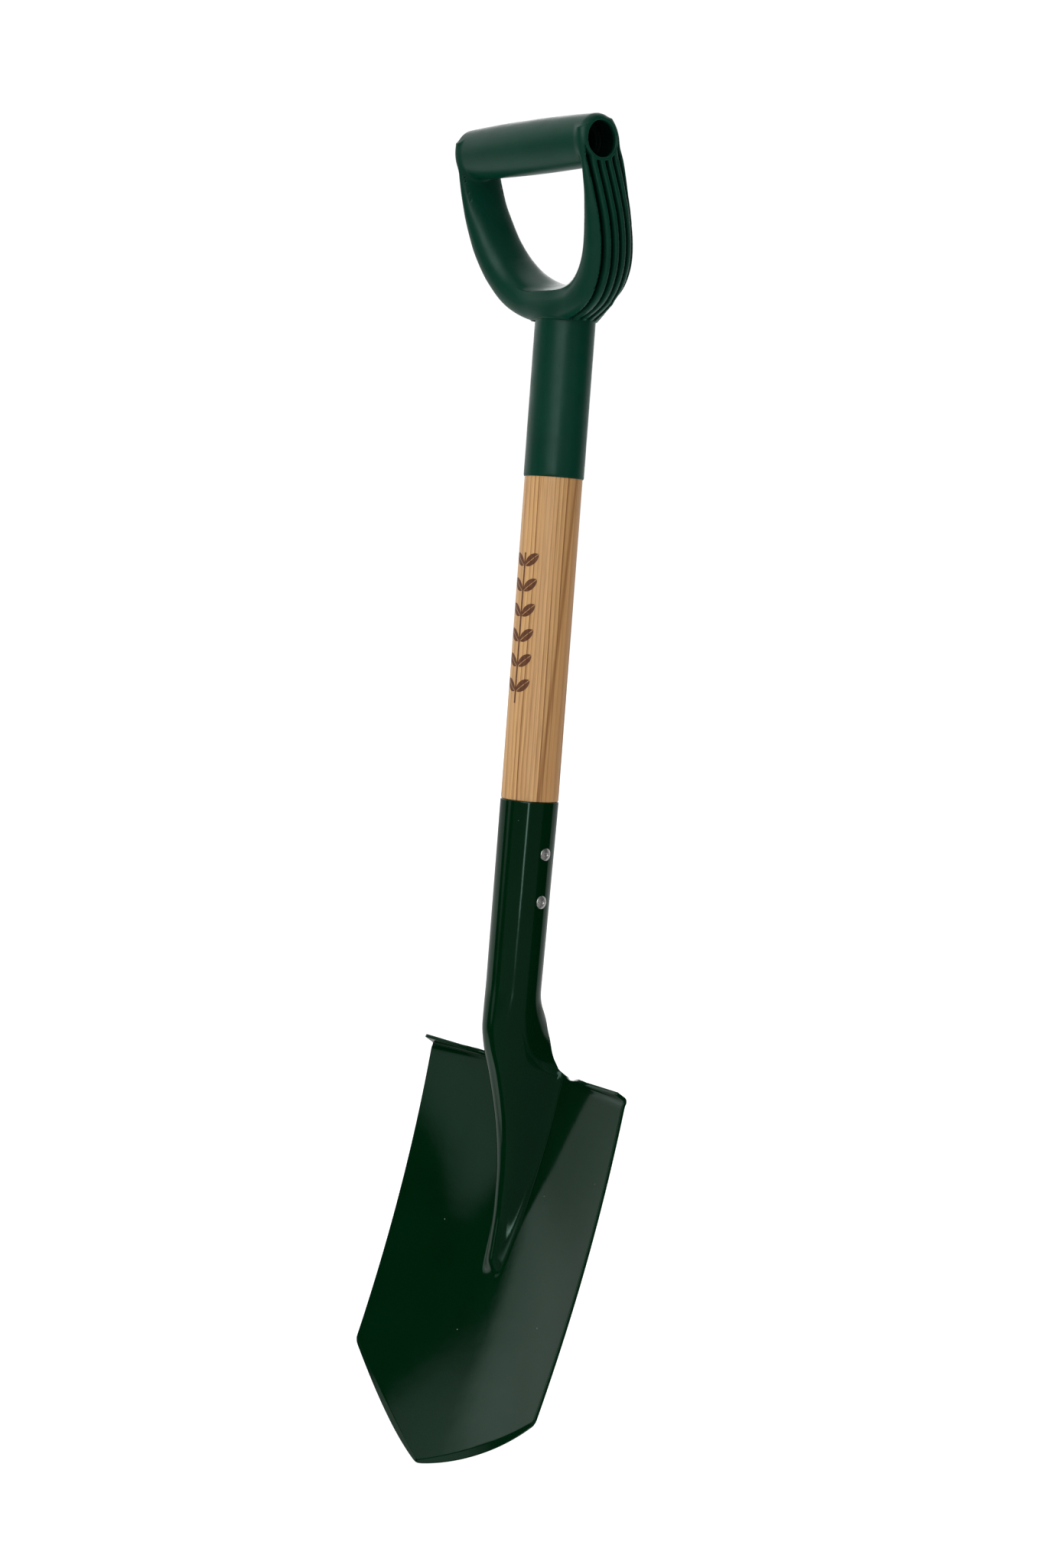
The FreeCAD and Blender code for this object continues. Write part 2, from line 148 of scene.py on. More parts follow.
EDGE_LINE = (11.4, 0.1536, 0.00052)     # the blade's side edge: back from the shaft's axis, slope and bend
DISH_DEPTHS = (13.6, 14.65, 4.0)        # at the treads, half-way down and at the tip
DISH_POWERS = (1.08, 2.0)               # the dish's section is nearly a V above and a bowl below
DISH_CHANGE = (175.0, 300.0)            # heights between which it changes
RIDGE_POWER = 1.35
RIDGE_END = (291.0, 307.0)              # heights between which the ridge sinks into the dish
# heights, and half the ridge's width there
RIDGE_HALF_WIDTH = ((120, 30.0), (173, 28.0), (205, 23.5), (240, 17.0), (290, 10.5), (310, 8.0))
# heights, and how far back the front face's middle line lies there
FRONT_LINE = ((0, -18.3), (120, -19.2), (132, -20.0), (145, -20.6), (158, -17.8), (173, -12.4), (189, -7.9),
              (205, -4.3), (220, -2.2), (237, -1.0), (265, -1.6), (290, -4.5), (310, -8.0))
# heights, and how far the sheet has opened there, from 0 for a tube to 1 for the ridge
OPENING = ((120, 0.0), (124, 0.03), (130, 0.15), (140, 0.38), (150, 0.52), (160, 0.66), (166, 0.86),
           (170, 1.0), (420, 1.0))
# heights, and the distance along the sheet from its middle line to the neck's edge
EDGE_LENGTH = ((0, 57.1), (122, 54.6), (126, 52.5), (130, 50.5), (134, 49.4), (140, 48.5), (150, 47.9),
               (158, 46.0), (162, 45.2), (168, 45.2), (169, 45.9), (170, 46.9), (171, 48.7), (171.5, 49.9))
# distances out, and the height of the blade's top edge there: a short curve from the neck to the treads
TOP_EDGE = ((27.3, 171.5), (28.8, 171.9), (31, 172.5), (33.5, 172.95), (36, 173.3), (40, 173.7), (44, 173.84))
OPEN_H = 168.0                   # from here down, each distance out has one place on the front face
NECK_END = 171.5
NECK_COLUMNS = 34                # mesh columns from the middle line to the neck's edge
TREAD_COLUMNS = 45               # and from there to the blade's side edge
BLADE_ROWS = 150

TREAD_INNER, TREAD_DEPTH = 34.5, 8.6
TREAD_BEND, TREAD_BEND_R = math.radians(84.0), 1.2
# distances out, and the share of the treads' full depth and of their full bend there
TREAD_DEPTHS = ((34.5, 0.0), (39, 0.10), (44, 0.34), (50, 0.68), (57, 0.93), (64, 1.0))
TREAD_BENDS = ((38, 0.60), (46, 0.80), (54, 0.94), (62, 1.0))

TIP_CENTRE = (-55.7, 208.5)      # centre, across and down, of the arc that bows the right tip edge
TIP_R = 215.7
TIP_SOFT = 1.6                   # rounding of the very tip
CORNER_R = 8.0
BEVEL_SLOPE, BEVEL_TOP = 0.32, 340.0
BEVEL_WIDTHS = (0.9, 3.8)        # width of the bevel at the tip and the corners, and half-way between
BEVEL_POWER, BEVEL_END = 0.8, 92.0


def along(table, place):
    """The sizes at a place, on straight lines between a table's pairs of place and size."""
    return np.interp(place, *zip(*table))


def eased(table, spread):
    """The table's sizes at HEIGHTS, with the corners between its straight runs eased off."""
    reach = int(4 * spread / STEP)
    kernel = np.exp(-0.5 * (np.arange(-reach, reach + 1) * STEP / spread) ** 2)
    raw = np.pad(along(table, HEIGHTS), reach, mode="edge")
    return np.convolve(raw, kernel / kernel.sum(), "valid")


def half_width(h):
    t = np.clip((h - TREAD_H) / (CORNER_H - TREAD_H), 0.0, 1.0)
    return HALF_WIDTH + (HALF_WIDTH_LOW - HALF_WIDTH) * t


def edge_y(h):
    d = h - TREAD_H
    return EDGE_LINE[0] - EDGE_LINE[1] * d - EDGE_LINE[2] * d * d


def dish_depth(h):
    """A parabola through the three depths."""
    top, half_way, tip = DISH_DEPTHS
    t = (h - TREAD_H) / (TIP_H - TREAD_H)
    return top * (1 - t) * (1 - 2 * t) + 4 * half_way * t * (1 - t) - tip * t * (1 - 2 * t)


def dish_slope(x, h):
    power = DISH_POWERS[0] + (DISH_POWERS[1] - DISH_POWERS[0]) * smooth(h, *DISH_CHANGE)
    return power * dish_depth(h) * x ** (power - 1) / half_width(h) ** power


def section_tables():
    """Across and back positions of the front face at HEIGHTS and LENGTHS out from its middle line."""
    front = eased(FRONT_LINE, 3.5)
    opened = eased(OPENING, 2.5)
    base = eased(RIDGE_HALF_WIDTH, 6.0)
    fade = 1 - smooth(HEIGHTS, *RIDGE_END)
    crest = edge_y(HEIGHTS) + dish_depth(HEIGHTS)
    height = (crest - front) * fade
    radius = SOCKET_R_TOP + (SOCKET_R_LOW - SOCKET_R_TOP) * HEIGHTS / TUBE_LENGTH
    half_turn = math.pi * radius - SEAM_GAP / 2
    fine = STEP / 2
    x = np.arange(fine / 2, LENGTHS[-1] + STEP, fine)
    middles = LENGTHS[:-1] + STEP / 2
    across, back = [], []
    for i, h in enumerate(HEIGHTS):
        t = np.minimum(x / base[i], 1.0)
        flank = 0.5 * math.pi * RIDGE_POWER * t ** (RIDGE_POWER - 1) * np.sin(math.pi * t ** RIDGE_POWER)
        slope = np.arctan(height[i] / base[i] * flank - dish_slope(x, h))
        runs = np.cumsum(fine / np.cos(slope))
        rolled = np.minimum(middles, half_turn[i]) / radius[i]
        angle = (1 - opened[i]) * rolled + opened[i] * np.interp(middles, runs, slope)
        across.append(np.concatenate(([0.0], np.cumsum(STEP * np.cos(angle)))))
        back.append(front[i] + (1 - fade[i]) * (crest[i] - front[i])
                    + np.concatenate(([0.0], np.cumsum(STEP * np.sin(angle)))))
    return np.array(across), np.array(back)


def lookup(table, i, j):
    """Table values at fractional rows i and columns j, on straight lines between its entries."""
    i0 = np.clip(np.floor(i).astype(int), 0, table.shape[0] - 2)
    j0 = np.clip(np.floor(j).astype(int), 0, table.shape[1] - 2)
    u, v = i - i0, j - j0
    return ((table[i0, j0] * (1 - v) + table[i0, j0 + 1] * v) * (1 - u)
            + (table[i0 + 1, j0] * (1 - v) + table[i0 + 1, j0 + 1] * v) * u)


def tip_line(x):
    across = np.sqrt(x * x + TIP_SOFT ** 2)
    return TIP_CENTRE[1] + np.sqrt((TIP_R - ROUND) ** 2 - (across - TIP_CENTRE[0]) ** 2)


def corner_centre():
    """Centre of the lower corner's rounding, found by halving: it touches the side and the tip edge."""
    low, high = 340.0, 380.0
    for _ in range(40):
        h = (low + high) / 2
        x = half_width(h) - CORNER_R
        if math.hypot(x - TIP_CENTRE[0], h - TIP_CENTRE[1]) < TIP_R - CORNER_R:
            low = h
        else:
            high = h
    return x, h


def lower_edge(share):
    """Heights of the blade's lower edge at shares of its half width."""
    cx, ch = corner_centre()
    r = CORNER_R - ROUND
    turn = math.atan2(ch - TIP_CENTRE[1], cx - TIP_CENTRE[0])
    x = share * (cx + r * math.cos(turn / 2))
    corner = ch + np.sqrt(np.maximum(r * r - np.maximum(x - cx, 0) ** 2, 0))
    return np.where(x < cx + r * math.cos(turn), tip_line(x), corner)


def reach_at(h):
    """How far out the front face goes at a height, with the lower corner rounded."""
    cx, ch = corner_centre()
    reach = half_width(h) - ROUND
    if h > ch:
        reach = min(reach, cx + math.sqrt(max((CORNER_R - ROUND) ** 2 - (h - ch) ** 2, 0)))
    return reach


def neck_rows(across, back):
    """Rows of even height, whose ends follow the sheet's edge."""
    u = np.linspace(-1, 1, 2 * NECK_COLUMNS + 1)
    heights = [ROUND, 1.0, 1.6, *np.arange(3.0, 120.0, 2.5), *np.linspace(120.0, NECK_END, 40)]
    rows = []
    for h in heights:
        s = np.abs((along(EDGE_LENGTH, h) - ROUND) * u)
        i, j = np.full_like(s, (h - HEIGHTS[0]) / STEP), s / STEP
        rows.append(np.stack([np.sign(u) * lookup(across, i, j), lookup(back, i, j), np.full_like(u, h)], 1))
    return rows


def blade_rows(across, back, neck_half):
    """Rows from the middle line outward: the top edge, which starts as half the neck, and all below it."""
    grid_x = np.arange(0.0, 102.0, STEP)
    rows = HEIGHTS >= OPEN_H
    y_of_x = np.array([np.interp(grid_x, *pair) for pair in zip(across[rows], back[rows])])

    def row(x, h):
        y = lookup(y_of_x, (h - HEIGHTS[rows][0]) / STEP, x / STEP)
        return np.stack([x, y, h], 1)

    side = HALF_WIDTH - ROUND
    outer_x = np.append(np.linspace(neck_half[-1, 0], side, TREAD_COLUMNS + 1)[1:], side - 0.6)
    top_x = np.concatenate((neck_half[:, 0], np.sort(outer_x)))
    top_h = along(TOP_EDGE, top_x)
    share = top_x / side
    bottom_h = lower_edge(share)
    near = np.concatenate((np.arange(0, 5.2, 0.4), [5.8, 6.8, 8.2, 9.8]))[::-1]     # rows close to the edge
    run = bottom_h - near[0] - top_h
    heights = [top_h + run * (k / BLADE_ROWS) for k in range(1, BLADE_ROWS + 1)]
    heights += [bottom_h - d for d in near[1:]]
    top = row(top_x, top_h)
    top[:len(neck_half)] = neck_half
    return [top] + [row(share * reach_at(h[-1]), h) for h in heights]


def mirrored(row):
    return np.concatenate((row[:0:-1] * (-1, 1, 1), row))


def fold_line(corner, below, places):
    """Points of a tread at distances past a point of the blade's top edge, given the point below that."""
    up = unit((corner - below) * (0, 1, 1))
    forward = np.array([0.0, up[2], -up[1]])
    bend = TREAD_BEND * along(TREAD_BENDS, abs(corner[0]))
    line = []
    for place in places * along(TREAD_DEPTHS, abs(corner[0])):
        angle = min(place / TREAD_BEND_R, bend)
        rest = max(place - TREAD_BEND_R * angle, 0.0)
        rise = TREAD_BEND_R * math.sin(angle) + rest * math.cos(bend)
        reach = TREAD_BEND_R * (1 - math.cos(angle)) + rest * math.sin(bend)
        line.append(corner + up * rise + forward * reach)
    return line


def add_treads(vertices, faces, top, width):
    """The vertices with both treads added: the top edge, at index top, folded forward outside the neck."""
    bent = TREAD_BEND_R * TREAD_BEND
    straight = TREAD_DEPTH - TREAD_BEND_R * math.tan(TREAD_BEND / 2) - ROUND
    places = np.concatenate((bent * np.linspace(0, 1, 6)[1:], bent + straight * np.linspace(0, 1, 7)[1:]))
    count = len(places)
    for side in (1, -1):
        columns = [c for c in range(top, top + width) if side * vertices[c, 0] > TREAD_INNER][::-side]
        lines = [fold_line(vertices[c], vertices[c + width], places) for c in columns]
        first = len(vertices)
        vertices = np.concatenate((vertices, np.reshape(lines, (-1, 3))))
        index = [[c, *range(first + n * count, first + (n + 1) * count)] for n, c in enumerate(columns)]
        index.append([columns[-1] - side] * (count + 1))
        for a, b in zip(index, index[1:]):
            for k in range(count):
                faces.append((a[k], b[k], b[k + 1], a[k + 1])[::side])
    return vertices


def steel_front():
    """Vertices and faces of the sheet's front face."""
    across, back = section_tables()
    neck = neck_rows(across, back)
    rows = neck[:-1] + [mirrored(row) for row in blade_rows(across, back, neck[-1][NECK_COLUMNS:])]
    starts = np.cumsum([0] + [len(row) for row in rows])
    faces = []
    for i in range(len(rows) - 1):
        shift = (len(rows[i + 1]) - len(rows[i])) // 2       # where the narrow neck meets the wide blade
        for j in range(len(rows[i]) - 1):
            a, b = starts[i] + j, starts[i + 1] + j + shift
            faces.append((a, a + 1, b + 1, b))
    vertices = add_treads(np.concatenate(rows), faces, starts[len(neck) - 1], len(rows[-1]))
    return vertices, [face[::-1] for face in faces]


def ground_bevel(vertices):
    """How deep the bevel along the lower edge cuts into the front face at each vertex."""
    across = np.sqrt(vertices[:, 0] ** 2 + TIP_SOFT ** 2)
    inset = TIP_R - ROUND - np.hypot(across - TIP_CENTRE[0], vertices[:, 2] - TIP_CENTRE[1])
    share = np.clip(np.abs(vertices[:, 0]) / BEVEL_END, 0.0, 1.0)
    ends, middle = BEVEL_WIDTHS
    width = ends + (middle - ends) * np.sin(math.pi * share) ** BEVEL_POWER
    return BEVEL_SLOPE * np.clip(width - inset, 0.0, 5.0) * (vertices[:, 2] > BEVEL_TOP)


def border_loop(faces):
    """The vertices round the open border of a face list, in order."""
    following = {}
    seen = set()
    for face in faces:
        corners = [c for n, c in enumerate(face) if c not in face[:n]]
        for a, b in zip(corners, corners[1:] + corners[:1]):
            seen.add((a, b))
    for a, b in seen:
        if (b, a) not in seen:
            following[a] = b
    start = next(iter(following))
    loop = [start]
    while following[loop[-1]] != start:
        loop.append(following[loop[-1]])
    return loop


def thickened(front, faces, thickness, bevel):
    """The sheet as a closed solid with rounded edges, from its front face."""
    front = front.copy()
    normal = vertex_normals(front, np.array(faces))           # out of the front face
    loop = np.array(border_loop(faces))
    edge = unit(front[np.roll(loop, -1)] - front[np.roll(loop, 1)])
    outward = unit(np.cross(edge, normal[loop]))
    back = front - normal * thickness
    front -= normal * bevel[:, None]
    round_r = np.minimum(ROUND, 0.42 * (thickness - bevel[loop]))[:, None]
    count = len(front)
    vertices = [front, back]
    rings = [loop]
    start = 2 * count
    quarter = np.radians((30, 60, 90))
    for face, side, angles in ((front, 1, quarter), (back, -1, quarter[::-1])):
        for angle in angles:
            step = outward * math.sin(angle) - side * normal[loop] * (1 - math.cos(angle))
            vertices.append(face[loop] + step * round_r)
            rings.append(np.arange(start, start + len(loop)))
            start += len(loop)
    rings.append(loop + count)
    solid = [tuple(face) for face in faces]
    solid += [tuple(c + count for c in face[::-1]) for face in faces]
    for a, b in zip(rings, rings[1:]):
        for i in range(len(loop)):
            j = (i + 1) % len(loop)
            solid.append((b[i], b[j], a[j], a[i]))
    cleaned = []
    for face in solid:
        corners = [int(c) for n, c in enumerate(face) if c not in face[:n]]
        cleaned.append(corners)
    return np.concatenate(vertices), cleaned


def make_steel(material):
    front, faces = steel_front()
    # to the model's frame: back is +Y, h runs down
    points = np.stack([front[:, 0], front[:, 1] + SHAFT_Y, RIM_Z - front[:, 2]], 1)
    vertices, solid = thickened(points, faces, SHEET, ground_bevel(front))
    add_piece("blade_sheet", vertices, solid, material, ("blade_socket",))


# ---- moulded grip, netted from a distance field ----------

LEAN = math.atan2(SHAFT_Y, 96.0)           # the grip leans forward
CROSSBAR_HALF = 61.8
BARREL_R_MID, BARREL_R_END, BARREL_ROUND = 16.2, 14.9, 4.3
BORE_R, MOUTH_R, MOUTH_DEPTH = 7.5, 10.7, 14.0
SLOT_OFFSETS = (-11.6, -5.8, 0.0, 5.8, 11.6)
SLOT_WIDTH, SLOT_WALL, SLOT_DEPTH = 2.8, 2.6, 9.5
SLOT_RING, SLOT_END, SLOT_TOP = 2.0, 17.0, -1.0
ARM_TOP = 9.0
ARM_POWER, FOOT_POWER = 2.25, 2.1          # how square the sections are
ARM_BLEND, FOOT_BLEND = 3.0, 4.0
# middle of the arm across and up, half its thickness and half its depth
ARM_STATIONS = ((57.4, 8.0, 3.8, 13.0), (57.6, -4.0, 4.0, 14.8), (58.2, -16.0, 4.6, 15.8),
                (57.6, -30.0, 6.5, 15.9), (55.4, -45.2, 9.2, 16.2), (51.4, -60.6, 10.7, 16.8),
                (44.6, -74.0, 11.6, 17.6), (33.6, -85.4, 12.0, 18.3), (17.3, -93.0, 11.5, 18.7),
                (0.0, -95.4, 11.1, 18.8), (-17.3, -93.0, 11.5, 18.7))
# places up the arms, and how far forward of the grip's plane they stand there
ARM_SHIFT = ((-80.0, 0.0), (-55.0, 1.1), (-35.0, 1.1), (-15.0, 0.0))
# height, half width, half depth and middle of the swelling under the arms
FOOT_STATIONS = ((-99.5, 19.5, 19.0, 34.0), (-95.0, 29.0, 19.4, 33.3), (-90.0, 38.0, 18.8, 31.8),
                 (-84.0, 41.0, 17.0, 30.0))
TABLE_STEP, TABLE_SIZE, TABLE_LOW = 0.25, (78.0, 149.0), -125.0
CELL = 0.8
GRID_LOW, GRID_SIZE = (-66.0, -21.0, -101.0), (132.0, 82.0, 120.0)


def soft_min(a, b, k):
    h = np.clip(0.5 + 0.5 * (b - a) / k, 0.0, 1.0)
    return b + (a - b) * h - k * h * (1 - h)


def soft_max(a, b, k):
    return -soft_min(-a, -b, k)


def spline(points, per_span):
    """Catmull-Rom curve through the points, without the first and the last of them."""
    points = np.asarray(points, float)
    t = np.arange(per_span)[:, None] / per_span
    spans = []
    for p0, p1, p2, p3 in zip(points, points[1:], points[2:], points[3:]):
        spans.append(0.5 * (2 * p1 + (p2 - p0) * t + (2 * p0 - 5 * p1 + 4 * p2 - p3) * t * t
                            + (3 * p1 - p0 - 3 * p2 + p3) * t ** 3))
    return np.concatenate(spans + [points[-2:-1]])


def arm_tables():
    """Distance out from the arm's middle line, half thickness and half depth, over the grip's plane."""
    first = 2 * np.asarray(ARM_STATIONS[0]) - np.asarray(ARM_STATIONS[1])
    path = spline((first,) + ARM_STATIONS, 24)
    run = unit(np.gradient(path[:, :2], axis=0))
    outward = np.stack([-run[:, 1], run[:, 0]], 1)
    x = np.arange(0.0, TABLE_SIZE[0], TABLE_STEP)
    z = TABLE_LOW + np.arange(0.0, TABLE_SIZE[1], TABLE_STEP)
    places = np.stack(np.meshgrid(x, z, indexing="ij"), -1).reshape(-1, 2)
    gaps = ((places[:, None, :] - path[None, :, :2]) ** 2).sum(-1)
    nearest = gaps.argmin(1)
    reach = ((places - path[nearest, :2]) * outward[nearest]).sum(1)
    shape = (len(x), len(z))
    return reach.reshape(shape), path[nearest, 2].reshape(shape), path[nearest, 3].reshape(shape)


def oval(u, v, a, b, power):
    """Roughly the distance to an oval with half axes a and b. A higher power makes it squarer."""
    u, v = np.abs(u) / a, np.abs(v) / b
    g = np.maximum((u ** power + v ** power) ** (1 / power), 1e-6)
    slope = np.hypot((u / g) ** (power - 1) / a, (v / g) ** (power - 1) / b)
    return (g - 1) / np.maximum(slope, 1 / 40)


def crossbar(from_axis, x):
    """Distance to the barrel-shaped crossbar with rounded ends."""
    radius = BARREL_R_MID - (BARREL_R_MID - BARREL_R_END) * (x / CROSSBAR_HALF) ** 2
    gaps = np.stack([from_axis - (radius - BARREL_ROUND), x - (CROSSBAR_HALF - BARREL_ROUND)])
    return np.hypot(*np.maximum(gaps, 0)) + np.minimum(gaps.max(0), 0) - BARREL_ROUND


def foot(x, y, z):
    """Distance to the swelling that joins the arms to the sleeve."""
    stations = np.array(FOOT_STATIONS)
    wide, deep, middle = (np.interp(z, stations[:, 0], stations[:, k]) for k in (1, 2, 3))
    distance = oval(x, y - middle, wide, deep, FOOT_POWER)
    return np.maximum(np.maximum(distance, stations[0, 0] - z), z - stations[-1, 0])


def grip_field(p, tables, hollowed=True):
    """Distance from points to the D grip's surface, less than zero inside. It is the same for -x."""
    x = np.abs(p[:, 0])
    y = p[:, 1] * math.cos(LEAN) + p[:, 2] * math.sin(LEAN)
    z = -p[:, 1] * math.sin(LEAN) + p[:, 2] * math.cos(LEAN)
    reach, thick, depth = (lookup(t, x / TABLE_STEP, (z - TABLE_LOW) / TABLE_STEP) for t in tables)
    arms = oval(reach, y + along(ARM_SHIFT, z), thick, depth, ARM_POWER)
    from_axis = np.hypot(y, z)
    body = soft_min(np.maximum(arms, z - ARM_TOP), crossbar(from_axis, x), ARM_BLEND)
    body = soft_min(body, foot(x, p[:, 1], p[:, 2]), FOOT_BLEND)
    if not hollowed:
        return body
    floor = np.maximum(SLOT_WALL - thick, thick - SLOT_DEPTH)
    region = np.maximum(np.maximum(floor - reach, MOUTH_R + SLOT_RING - from_axis),
                        np.maximum(SLOT_END - x, z - SLOT_TOP))
    aside = np.min([np.abs(y - offset) for offset in SLOT_OFFSETS], axis=0)
    body = soft_max(body, -np.maximum(aside - SLOT_WIDTH / 2, region), 0.7)
    body = soft_max(body, BORE_R - from_axis, 0.6)
    mouth = np.maximum(from_axis - MOUTH_R, CROSSBAR_HALF - MOUTH_DEPTH - x)
    return soft_max(body, -mouth, 0.9)


def surface_net(values):
    """Vertices, in cells, and faces of the surface where the values on a grid pass through zero."""
    inside = values < 0
    sums = np.zeros([n - 1 for n in values.shape] + [3])
    hits = np.zeros([n - 1 for n in values.shape])
    quads = []
    for axis in range(3):
        other = [a for a in range(3) if a != axis]
        low = [slice(None)] * 3
        high = [slice(None)] * 3
        low[axis], high[axis] = slice(None, -1), slice(1, None)
        a, b = values[tuple(low)], values[tuple(high)]
        crossed = inside[tuple(low)] != inside[tuple(high)]
        index = np.argwhere(crossed)
        t = a[crossed] / (a[crossed] - b[crossed])
        point = index.astype(float)
        point[:, axis] += t
        for du in (0, 1):
            for dv in (0, 1):
                cell = index.copy()
                cell[:, other[0]] -= du
                cell[:, other[1]] -= dv
                np.add.at(sums, tuple(cell.T), point)
                np.add.at(hits, tuple(cell.T), 1)
        corners = []
        for du, dv in ((0, 0), (1, 0), (1, 1), (0, 1)):
            cell = index.copy()
            cell[:, other[0]] -= du
            cell[:, other[1]] -= dv
            corners.append(cell)
        outward = inside[tuple(low)][crossed]
        if axis == 1:
            outward = ~outward
        quads.append((corners, outward))
    number = np.full(hits.shape, -1)
    used = hits > 0
    number[used] = np.arange(used.sum())
    vertices = sums[used] / hits[used][:, None]
    faces = []
    for corners, outward in quads:
        quad = np.stack([number[tuple(c.T)] for c in corners], 1)
        quad[~outward] = quad[~outward][:, ::-1]
        faces.append(quad)
    return vertices, np.concatenate(faces)


def grip_values(tables):
    """The grip's field over a grid that is centred on the middle of the crossbar, and its lowest corner."""
    counts = np.ceil(np.array(GRID_SIZE) / CELL).astype(int) + 1
    low = np.array(GRID_LOW)
    low[0] = -(counts[0] - 1) / 2 * CELL
    across, back, up = (low[k] + CELL * np.arange(counts[k]) for k in range(3))
    y, z = np.meshgrid(back, up, indexing="ij")
    values = np.empty(counts)
    for i in range(counts[0] // 2 + 1):
        slab = np.stack([np.full(y.size, across[i]), y.ravel(), z.ravel()], 1)
        values[i] = grip_field(slab, tables).reshape(y.shape)
        values[counts[0] - 1 - i] = values[i]
    return values, low


def make_grip(material):
    tables = arm_tables()
    values, low = grip_values(tables)
    vertices, faces = surface_net(values)
    vertices = low + vertices * CELL
    small = 0.05
    for _ in range(3):          # steps along the field's slope bring the net onto the surface
        here = grip_field(vertices, tables)
        ahead = [grip_field(vertices + d, tables) for d in np.eye(3) * small]
        slope = (np.stack(ahead, 1) - here[:, None]) / small
        steepness = np.maximum((slope ** 2).sum(1), 0.25)
        vertices = vertices - slope * np.clip(here / steepness, -0.4, 0.4)[:, None]
    grip = add_piece("grip_moulding", vertices, faces.tolist(), material, ("d_grip",))
    depth = -grip_field(vertices, tables, hollowed=False)      # how deep in a slot or a mouth
    grip.data.attributes.new("depth", "FLOAT", "POINT").data.foreach_set("value", np.clip(depth, 0.0, 20.0))


# ---- turned pieces ---------------------------------------

SHAFT_DEPTH = 114.0                 # end of the shaft below the rim
RIVET_DEPTHS = {"rivet_upper": 32.4, "rivet_lower": 62.4}       # below the rim
RIVET_TURN = math.radians(6.0)      # the rivets run slightly towards the back on the right
SCREW_Z, SCREW_FACE_Y = -150.0, SHAFT_Y + SLEEVE_R - 0.3
SCREW_CROSS = (3.8, 0.85)           # length and width of the cross in the screw's head


def make_sleeve(material):
    """Lower tube of the grip: a rounded lip, and a bore for the shaft's tenon."""
    z, r, bore = SLEEVE_Z, SLEEVE_R, TENON_R + 0.1
    profile = [(TENON_TOP, 0), (TENON_TOP, bore), (z + 3.0, bore), (z + 3.0, 18.15),
               (z + 0.4, 18.2), (z + 0.1, 18.26), (z, 18.34), (z + 0.1, 18.44), (z + 0.5, 18.62),
               (z + 1.1, 18.72), (z + 2.0, r)]
    profile += [(place, r) for place in np.linspace(z + 6.0, SLEEVE_TOP, 16)]
    profile += [(SLEEVE_TOP, 0)]
    vertices, faces = turned(profile, 128, (0, SHAFT_Y, 0), UP, RIGHT)
    add_piece("grip_sleeve", vertices, faces, material)


def make_shaft(material):
    """Ash shaft: its tenon in the sleeve, its visible length, and the end that the socket grips."""
    top, r = SLEEVE_Z, SHAFT_R
    gripped = [(-SHAFT_DEPTH, 0), (-SHAFT_DEPTH, 14.9), (-60.0, 15.3), (-0.1, 15.75),
               (-0.1, 17.2), (0.25, 17.75), (0.8, r)]
    profile = [(RIM_Z + place, radius) for place, radius in gripped]
    profile += [(place, r) for place in np.linspace(RIM_Z + 4.0, top - 1.0, 60)]
    profile += [(top + 0.2, 17.9), (top + 2.8, 17.7), (top + 2.8, TENON_R)]
    profile += [(TENON_TOP - 0.4, TENON_R), (TENON_TOP - 0.4, 0)]
    vertices, faces = turned(profile, 128, (0, SHAFT_Y, 0), UP, RIGHT)
    shaft = np.array(vertices)
    inside = shaft[:, 2] < RIM_Z
    shaft[inside, 1] -= SOCKET_LEAN * (RIM_Z - shaft[inside, 2])
    add_piece("ash_shaft", shaft, faces, material, ("shaft",))


def make_rivet(name, depth, material):
    """Domed heads on both sides of the socket, with a ring-shaped edge and a small centre dimple."""
    seat, head_r, height, dimple_r = 17.75, 4.2, 1.5, 1.25
    dome_r = (head_r ** 2 + height ** 2) / (2 * height)
    half = [(0.0, 2.4), (seat - 0.6, 2.4), (seat - 0.6, head_r - 0.1), (seat, head_r)]
    for share in np.linspace(1.0, 0.0, 12):
        r = dimple_r + (head_r - 0.25 - dimple_r) * share
        half.append((seat + height - dome_r + math.sqrt(dome_r ** 2 - r * r) + 0.02, r))
    crown = half[-1][0]
    half += [(crown - 0.15, 1.15), (crown - 0.8, 0.95), (crown - 1.1, 0.5), (crown - 1.15, 0)]
    profile = [(-place, radius) for place, radius in reversed(half)] + half[1:]
    centre = (0, SHAFT_Y - SOCKET_LEAN * depth, RIM_Z - depth)
    axis = (math.cos(RIVET_TURN), math.sin(RIVET_TURN), 0.0)
    vertices, faces = turned(profile, 48, centre, axis, UP)
    add_piece(name + "_heads", vertices, faces, material, (name,))


def cut_box(piece, wide, high):
    """Cuts a box into the screw's face, wide across and high."""
    corners = [Vector((x * wide / 2, y + SCREW_FACE_Y, z * high / 2 + SCREW_Z)) * 0.001
               for x in (-1, 1) for y in (-1.5, 1.0) for z in (-1, 1)]
    sides = [(0, 1, 3, 2), (4, 6, 7, 5), (0, 4, 5, 1), (2, 3, 7, 6), (0, 2, 6, 4), (1, 5, 7, 3)]
    mesh = bpy.data.meshes.new("recess")
    mesh.from_pydata(corners, [], sides)
    cutter = bpy.data.objects.new("recess", mesh)
    bpy.context.scene.collection.objects.link(cutter)
    cut = piece.modifiers.new("recess", "BOOLEAN")
    cut.operation, cut.object, cut.solver = "DIFFERENCE", cutter, "EXACT"
    with bpy.context.temp_override(object=piece, active_object=piece):
        bpy.ops.object.modifier_apply(modifier=cut.name)
    bpy.data.objects.remove(cutter)


